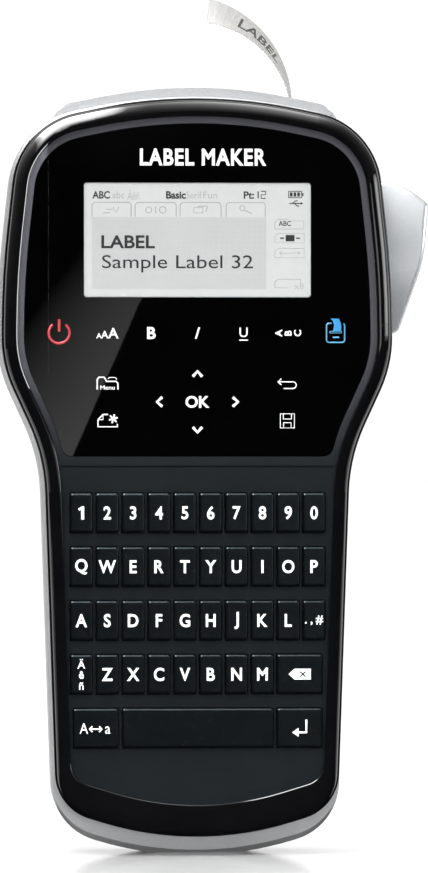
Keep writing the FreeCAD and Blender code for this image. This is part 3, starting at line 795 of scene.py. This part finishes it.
def dome_card(name, stops, profile):
    """Card on a dome in front of the object, with a strength that changes smoothly over it.

    stops are pairs of degrees, from the top round to the left, and strength.
    profile is pairs of degrees off the front and the share of that strength."""
    rows, columns = (round((pairs[-1][0] - pairs[0][0]) / DOME_STEP) + 1 for pairs in (stops, profile))
    corners, glow = [], []
    for row in range(rows):
        degrees = stops[0][0] + (stops[-1][0] - stops[0][0]) * row / (rows - 1)
        turn = math.radians(degrees)
        for column in range(columns):
            tilt = profile[0][0] + (profile[-1][0] - profile[0][0]) * column / (columns - 1)
            off = math.radians(tilt)
            spot = Vector((-math.sin(turn) * math.sin(off), -math.cos(off), math.cos(turn) * math.sin(off)))
            corners.append(DOME_CENTRE + spot * DOME_RADIUS)
            glow.append(level(stops, degrees) * level(profile, tilt))
    glow_from_points(card(name, corners, faces=grid_faces(rows, columns)), glow)


def panel_glow(eye):
    """Card behind the camera that the panel mirrors as a slanting light area on its left side.

    Its right edge is sharp. The glow falls off to the left and towards the top."""
    mirrored = Vector((eye.location.x, 2 * PANEL_LOW.y - eye.location.y, eye.location.z))
    reach, rows, columns = 1.2, 24, 12
    strength = [(-0.1, 1.25), (0.1, 1.1), (0.2, 1.0), (0.32, 0.92), (0.44, 0.85), (0.6, 0.45), (0.8, 0.18),
                (0.95, 0.15), (1.06, 0.12)]
    width = [(-0.1, 34), (0.2, 32), (0.45, 27), (0.7, 20), (0.95, 15), (1.06, 13)]
    corners, glow = [], []
    for row in range(rows):
        share = -0.1 + 1.16 * row / (rows - 1)
        for column in range(columns):
            fall = column / (columns - 1)
            x = -33.6 + 39.0 * share - fall * level(width, share)
            spot = Vector((x * MM, PANEL_LOW.y, PANEL_LOW.z + share * (PANEL_HIGH.z - PANEL_LOW.z)))
            corners.append(spot + (spot - mirrored) * reach)
            glow.append(level(strength, share) * (1 - fall ** 1.3))
    glow_from_points(card("panel_glow", corners, faces=grid_faces(rows, columns)), glow)


def lip_card(eye):
    """Card close to the front and edge on to the camera, which lights the left inner lip of the ring."""
    x, near, far = -0.040, -0.0235, -0.036
    low, high = 0.128, 0.192
    far_x = x - (x - eye.location.x) / -eye.location.y * (far - near)
    corners = [(x, near, low), (far_x, far, low), (far_x, far, high), (x, near, high)]
    show_one_side(card("lip_card", corners, 26))


def white_world():
    """Even white surroundings."""
    world = bpy.data.worlds.new("studio")
    world.use_nodes = True
    world.node_tree.nodes["Background"].inputs["Color"].default_value = (1, 1, 1, 1)
    world.node_tree.nodes["Background"].inputs["Strength"].default_value = 1.08
    bpy.context.scene.world = world


def pale_floor():
    """Wide floor of smooth pale paper."""
    half = FLOOR_HALF_WIDTH
    mesh = bpy.data.meshes.new("floor")
    corners = [(-half, -half, 0), (half, -half, 0), (half, half, 0), (-half, half, 0)]
    mesh.from_pydata(corners, [], [[0, 1, 2, 3]])
    floor = bpy.data.objects.new("floor", mesh)
    bpy.context.scene.collection.objects.link(floor)
    paper = finish_material("floor_paper", (0.93, 0.93, 0.93), (0.95, 0.95, 0.95), (0.10, 0.14),
                            (500, 0.000004), mottle=3, specular=0.15)
    mesh.materials.append(paper)


def dark_room():
    """Black cards in front, at the sides, above and on the floor, so that the gloss black stays black."""
    far, back, side, top = ROOM_FRONT_Y, ROOM_BACK_Y, ROOM_HALF_WIDTH, ROOM_TOP_Z
    below = -0.2
    card("flag_front", [(-side, far, below), (side, far, below), (side, far, top), (-side, far, top)])
    for name, x in (("left", -side), ("right", side)):
        card("flag_" + name, [(x, far, 0), (x, back, 0), (x, back, top), (x, far, top)])
    card("flag_top", [(-side, far, top), (side, far, top), (side, back, top), (-side, back, top)])
    near, height = 0.03, 0.0004
    show_one_side(card("flag_floor", [(-side, far, height), (side, far, height), (side, near, height),
                                      (-side, near, height)]))


def bright_domes():
    """Highlights on the round of the ring: along the top, the left shoulder and both sides."""
    even = [(5, 0), (25, 0.08), (46, 0.28), (69, 0.5), (95, 1), (108, 1), (118, 0)]
    wide = [(5, 0), (16, 0), (28, 0.35), (42, 0.8), (60, 1), (108, 1), (118, 0)]
    narrow = [(55, 0), (62, 0.6), (80, 1), (95, 0.6), (102, 0)]
    top = [(-72, 0.3), (-52, 0.7), (-33, 1), (-23, 3), (-15, 8), (-10, 9), (-3.5, 6.5), (3, 3.5), (6, 6)]
    dome_card("top_card", top, even)
    dome_card("shoulder_card", [(6, 6), (8.5, 30), (38, 34), (42, 14), (46, 3.5)], wide)
    dome_card("side_card", [(46, 3.5), (56, 1.6), (71, 0.7), (84, 0.15), (94, 0)], even)
    dome_card("right_card", [(-91, 0), (-87, 9), (-77, 9), (-73, 0)], narrow)


def studio(eye):
    """Pale floor, white surroundings, soft lights, and the cards that the front reflects."""
    white_world()
    pale_floor()
    area_light("key_light", (-0.5, -0.7, 1.3), (0, 0, 0.12), (0.7, 0.5), 9)
    area_light("low_light", (0, -0.15, 0.014), (0, 0, 0.012), (0.16, 0.02), 0.16)
    dark_room()
    bright_domes()
    card("lever_card", [(0.28, -2.4, 0.12), (0.95, -2.4, 0.12), (0.95, -2.4, 0.62), (0.28, -2.4, 0.62)], 3.0)
    panel_glow(eye)
    lip_card(eye)


paint_nodes()
key_legends()
capitals_legend()
enter_legend()
backspace_legend()
accent_legend()
panel_printing()
screen_printing()
strip_printing()
studio(camera())
bpy.context.scene.view_settings.view_transform = "Standard"
